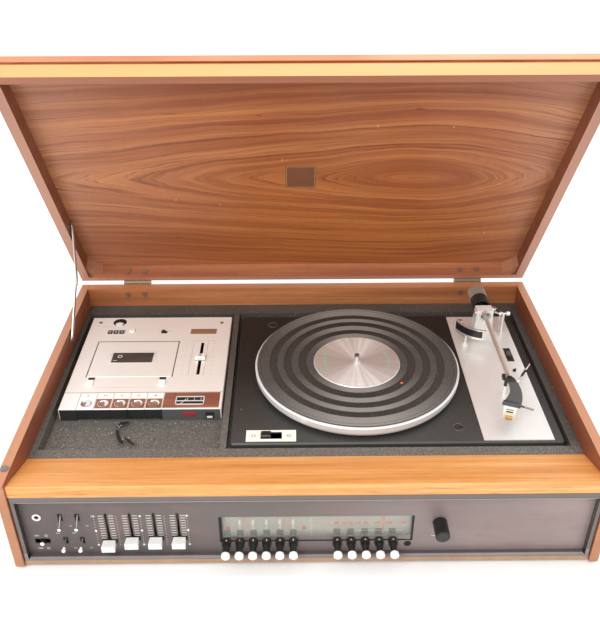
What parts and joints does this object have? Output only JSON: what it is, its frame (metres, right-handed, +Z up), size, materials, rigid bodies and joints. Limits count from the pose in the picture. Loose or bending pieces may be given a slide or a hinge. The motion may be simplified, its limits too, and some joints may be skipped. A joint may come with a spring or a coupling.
{
  "type": "radiogram",
  "caption": "Table-top wooden radiogram: a lift-up lid over a record deck and a cassette recorder, with a radio's dial, buttons and sliders in front.",
  "frame": {"origin": "under the middle of the whole outline, with the lid open as stored, at the feet", "axes": "+X to the right along the front, +Y towards the back, +Z up"},
  "size_m": [0.762, 0.5349, 0.5839],
  "materials": {
    "veneer": "satin",
    "painted_board": "speckled matt",
    "rubber": "matt",
    "steel": "plated",
    "surround_plastic": "satin",
    "anodised_panel": "fine brushed",
    "dial_glass": "clear",
    "plated_chassis": "zinc plated",
    "black_enamel": "satin",
    "silver_plate": "brushed",
    "motor_steel": "satin",
    "recorder_case": "satin silver",
    "cast_alloy": "turned",
    "mat_rubber": "satin",
    "black_plastic": "satin",
    "white_plastic": "gloss",
    "chrome": "polished",
    "arm_alloy": "satin",
    "weight_steel": "satin"
  },
  "bodies": {
    "cabinet": {"side_panels": "veneer", "back_panel": "veneer", "base_board": "painted_board", "front_rail": "veneer", "rubber_feet": "rubber", "deck_plinth": "painted_board", "fascia_surround": "surround_plastic", "fascia_panel": "anodised_panel", "dial_glass": "dial_glass", "amplifier_chassis": "plated_chassis", "cabinet_fittings": "steel", "turntable_plate": "black_enamel", "tonearm_plate": "silver_plate", "turntable_motor": "motor_steel", "cassette_recorder": "recorder_case"},
    "lid": {"lid_board": "veneer", "lid_frame": "veneer", "lid_fittings": "steel"},
    "stay_lower": {"stay_lower_arm": "steel"},
    "stay_upper": {"stay_upper_arm": "steel"},
    "record_platter": {"platter": "cast_alloy", "platter_mat": "mat_rubber"},
    "idler": {"idler_wheel": "rubber"},
    "pulley": {"motor_pulley": "steel"},
    "selector": {"speed_selector": "black_plastic"},
    "tower": {"arm_tower": "cast_alloy"},
    "pickup_arm": {"tonearm": "arm_alloy"},
    "balance_weight": {"counterweight": "weight_steel"},
    "lift_lever": {"cue_lever": "chrome"},
    "lift": {"cue_lift": "black_plastic"},
    "door": {"cassette_door": "recorder_case"},
    "level": {"level_slider": "black_plastic"},
    "reset": {"counter_reset": "black_plastic"},
    "power": {"power_switch": "black_plastic"},
    "tuner": {"tuning_knob": "black_plastic"},
    "pointer": {"dial_pointer": "white_plastic"},
    "piano_key_1_body": {"piano_key_1": "recorder_case"},
    "piano_key_2_body": {"piano_key_2": "recorder_case"},
    "piano_key_3_body": {"piano_key_3": "recorder_case"},
    "piano_key_4_body": {"piano_key_4": "recorder_case"},
    "piano_key_5_body": {"piano_key_5": "recorder_case"},
    "lever_switch_1_body": {"lever_switch_1": "chrome"},
    "lever_switch_2_body": {"lever_switch_2": "chrome"},
    "lever_switch_3_body": {"lever_switch_3": "chrome"},
    "lever_switch_4_body": {"lever_switch_4": "chrome"},
    "fader_1_body": {"fader_1": "white_plastic"},
    "fader_2_body": {"fader_2": "white_plastic"},
    "fader_3_body": {"fader_3": "white_plastic"},
    "fader_4_body": {"fader_4": "white_plastic"},
    "push_button_1_body": {"push_button_1": "white_plastic"},
    "push_button_2_body": {"push_button_2": "white_plastic"},
    "push_button_3_body": {"push_button_3": "white_plastic"},
    "push_button_4_body": {"push_button_4": "white_plastic"},
    "push_button_5_body": {"push_button_5": "white_plastic"},
    "push_button_6_body": {"push_button_6": "white_plastic"},
    "push_button_7_body": {"push_button_7": "white_plastic"},
    "push_button_8_body": {"push_button_8": "white_plastic"},
    "push_button_9_body": {"push_button_9": "white_plastic"},
    "push_button_10_body": {"push_button_10": "white_plastic"},
    "push_button_11_body": {"push_button_11": "white_plastic"}
  },
  "joints": [
    {"name": "lid_hinge", "type": "hinge", "parent": "cabinet", "child": "lid", "pos_m": [0, 0.23927, 0.14825], "axis": [-1, 0, 0], "range_deg": [-60, 0]},
    {"name": "stay_wall_pivot", "type": "hinge", "parent": "cabinet", "child": "stay_lower", "pos_m": [-0.36575, 0.08627, 0.134], "axis": [1, 0, 0], "range_deg": [-42.91, 0]},
    {"name": "stay_lid_pivot", "type": "hinge", "parent": "lid", "child": "stay_upper", "pos_m": [-0.36375, 0.18027, 0.285], "axis": [1, 0, 0], "range_deg": [0, 28.44]},
    {"name": "platter_spin", "type": "hinge", "parent": "cabinet", "child": "record_platter", "pos_m": [0.0782, 0.01307, 0.1367], "axis": [0, 0, 1], "continuous": true},
    {"name": "idler_spin", "type": "hinge", "parent": "cabinet", "child": "idler", "pos_m": [0.01675, 0.1195, 0.125], "axis": [0, 0, 1], "continuous": true},
    {"name": "pulley_spin", "type": "hinge", "parent": "cabinet", "child": "pulley", "pos_m": [0.0122, 0.0937, 0.125], "axis": [0, 0, 1], "continuous": true},
    {"name": "selector_slide", "type": "slide", "parent": "cabinet", "child": "selector", "axis": [1, 0, 0], "range_m": [0, 0.014]},
    {"name": "arm_swing", "type": "hinge", "parent": "cabinet", "child": "tower", "pos_m": [0.2895, 0.12127, 0.12102], "axis": [0, 0, -1], "range_deg": [0, 46]},
    {"name": "arm_raise", "type": "hinge", "parent": "tower", "child": "pickup_arm", "pos_m": [0.2895, 0.12127, 0.156], "axis": [-1, 0, 0], "range_deg": [0, 11]},
    {"name": "weight_turn", "type": "hinge", "parent": "pickup_arm", "child": "balance_weight", "pos_m": [0.2895, 0.16127, 0.156], "axis": [0, 1, 0], "continuous": true},
    {"name": "lift_lever_turn", "type": "hinge", "parent": "cabinet", "child": "lift_lever", "pos_m": [0.315, -0.01773, 0.12172], "axis": [1, 0, 0], "range_deg": [0, 50.5]},
    {"name": "lift_rise", "type": "slide", "parent": "cabinet", "child": "lift", "axis": [0, 0, 1], "range_m": [0, 0.005]},
    {"name": "door_hinge", "type": "hinge", "parent": "cabinet", "child": "door", "pos_m": [-0.2642, -0.00173, 0.116], "axis": [1, 0, 0], "range_deg": [0, 45]},
    {"name": "level_slide", "type": "slide", "parent": "cabinet", "child": "level", "axis": [0, 1, 0], "range_m": [-0.036, 0.039]},
    {"name": "reset_push", "type": "slide", "parent": "cabinet", "child": "reset", "axis": [0, 0, -1], "range_m": [0, 0.002], "stiffness_N_per_m": 300, "springref_m": -0.002},
    {"name": "power_slide", "type": "slide", "parent": "cabinet", "child": "power", "axis": [0, 0, 1], "range_m": [0, 0.0025]},
    {"name": "tuning_turn", "type": "hinge", "parent": "cabinet", "child": "tuner", "pos_m": [0.1695, -0.23873, 0.066], "axis": [0, 1, 0], "range_deg": [-1756, 226]},
    {"name": "pointer_slide", "type": "slide", "parent": "cabinet", "child": "pointer", "axis": [1, 0, 0], "range_m": [-0.195, 0.025]},
    {"name": "piano_key_1_press", "type": "hinge", "parent": "cabinet", "child": "piano_key_1_body", "pos_m": [-0.31462, -0.03823, 0.1085], "axis": [1, 0, 0], "range_deg": [0, 5], "stiffness_Nm_per_rad": 0.4, "springref_deg": -3.44},
    {"name": "piano_key_2_press", "type": "hinge", "parent": "cabinet", "child": "piano_key_2_body", "pos_m": [-0.29026, -0.03823, 0.1085], "axis": [1, 0, 0], "range_deg": [0, 5], "stiffness_Nm_per_rad": 0.4, "springref_deg": -3.44},
    {"name": "piano_key_3_press", "type": "hinge", "parent": "cabinet", "child": "piano_key_3_body", "pos_m": [-0.2659, -0.03823, 0.1085], "axis": [1, 0, 0], "range_deg": [0, 5], "stiffness_Nm_per_rad": 0.4, "springref_deg": -3.44},
    {"name": "piano_key_4_press", "type": "hinge", "parent": "cabinet", "child": "piano_key_4_body", "pos_m": [-0.24154, -0.03823, 0.1085], "axis": [1, 0, 0], "range_deg": [0, 5], "stiffness_Nm_per_rad": 0.4, "springref_deg": -3.44},
    {"name": "piano_key_5_press", "type": "hinge", "parent": "cabinet", "child": "piano_key_5_body", "pos_m": [-0.21718, -0.03823, 0.1085], "axis": [1, 0, 0], "range_deg": [0, 5], "stiffness_Nm_per_rad": 0.4, "springref_deg": -3.44},
    {"name": "lever_switch_1_tilt", "type": "hinge", "parent": "cabinet", "child": "lever_switch_1_body", "pos_m": [-0.3136, -0.23273, 0.084], "axis": [1, 0, 0], "range_deg": [-24, 0]},
    {"name": "lever_switch_2_tilt", "type": "hinge", "parent": "cabinet", "child": "lever_switch_2_body", "pos_m": [-0.292, -0.23273, 0.084], "axis": [1, 0, 0], "range_deg": [-24, 0]},
    {"name": "lever_switch_3_tilt", "type": "hinge", "parent": "cabinet", "child": "lever_switch_3_body", "pos_m": [-0.3126, -0.23273, 0.042], "axis": [1, 0, 0], "range_deg": [0, 24]},
    {"name": "lever_switch_4_tilt", "type": "hinge", "parent": "cabinet", "child": "lever_switch_4_body", "pos_m": [-0.291, -0.23273, 0.042], "axis": [1, 0, 0], "range_deg": [0, 24]},
    {"name": "fader_1_slide", "type": "slide", "parent": "cabinet", "child": "fader_1_body", "axis": [0, 0, 1], "range_m": [-0.0027, 0.048]},
    {"name": "fader_2_slide", "type": "slide", "parent": "cabinet", "child": "fader_2_body", "axis": [0, 0, 1], "range_m": [-0.0077, 0.043]},
    {"name": "fader_3_slide", "type": "slide", "parent": "cabinet", "child": "fader_3_body", "axis": [0, 0, 1], "range_m": [-0.0077, 0.043]},
    {"name": "fader_4_slide", "type": "slide", "parent": "cabinet", "child": "fader_4_body", "axis": [0, 0, 1], "range_m": [-0.0077, 0.043]},
    {"name": "push_button_1_press", "type": "slide", "parent": "cabinet", "child": "push_button_1_body", "axis": [0, 1, 0], "range_m": [0, 0.005], "stiffness_N_per_m": 200, "springref_m": -0.003},
    {"name": "push_button_2_press", "type": "slide", "parent": "cabinet", "child": "push_button_2_body", "axis": [0, 1, 0], "range_m": [0, 0.005], "stiffness_N_per_m": 200, "springref_m": -0.003},
    {"name": "push_button_3_press", "type": "slide", "parent": "cabinet", "child": "push_button_3_body", "axis": [0, 1, 0], "range_m": [0, 0.005], "stiffness_N_per_m": 200, "springref_m": -0.003},
    {"name": "push_button_4_press", "type": "slide", "parent": "cabinet", "child": "push_button_4_body", "axis": [0, 1, 0], "range_m": [0, 0.005], "stiffness_N_per_m": 200, "springref_m": -0.003},
    {"name": "push_button_5_press", "type": "slide", "parent": "cabinet", "child": "push_button_5_body", "axis": [0, 1, 0], "range_m": [0, 0.005], "stiffness_N_per_m": 200, "springref_m": -0.003},
    {"name": "push_button_6_press", "type": "slide", "parent": "cabinet", "child": "push_button_6_body", "axis": [0, 1, 0], "range_m": [0, 0.005], "stiffness_N_per_m": 200, "springref_m": -0.003},
    {"name": "push_button_7_press", "type": "slide", "parent": "cabinet", "child": "push_button_7_body", "axis": [0, 1, 0], "range_m": [0, 0.005], "stiffness_N_per_m": 200, "springref_m": -0.003},
    {"name": "push_button_8_press", "type": "slide", "parent": "cabinet", "child": "push_button_8_body", "axis": [0, 1, 0], "range_m": [0, 0.005], "stiffness_N_per_m": 200, "springref_m": -0.003},
    {"name": "push_button_9_press", "type": "slide", "parent": "cabinet", "child": "push_button_9_body", "axis": [0, 1, 0], "range_m": [0, 0.005], "stiffness_N_per_m": 200, "springref_m": -0.003},
    {"name": "push_button_10_press", "type": "slide", "parent": "cabinet", "child": "push_button_10_body", "axis": [0, 1, 0], "range_m": [0, 0.005], "stiffness_N_per_m": 200, "springref_m": -0.003},
    {"name": "push_button_11_press", "type": "slide", "parent": "cabinet", "child": "push_button_11_body", "axis": [0, 1, 0], "range_m": [0, 0.005], "stiffness_N_per_m": 200, "springref_m": -0.003}
  ],
  "couplings": [
    {"joint": "stay_wall_pivot", "follows": "lid_hinge", "ratio": 0.70681},
    {"joint": "stay_lid_pivot", "follows": "lid_hinge", "ratio": -0.46568},
    {"joint": "idler_spin", "follows": "platter_spin", "ratio": 6.4756},
    {"joint": "pulley_spin", "follows": "platter_spin", "ratio": -42.853},
    {"joint": "lift_lever_turn", "follows": "lift_rise", "rad_per_m": 174.53},
    {"joint": "tuning_turn", "follows": "pointer_slide", "rad_per_m": 157.08}
  ]
}
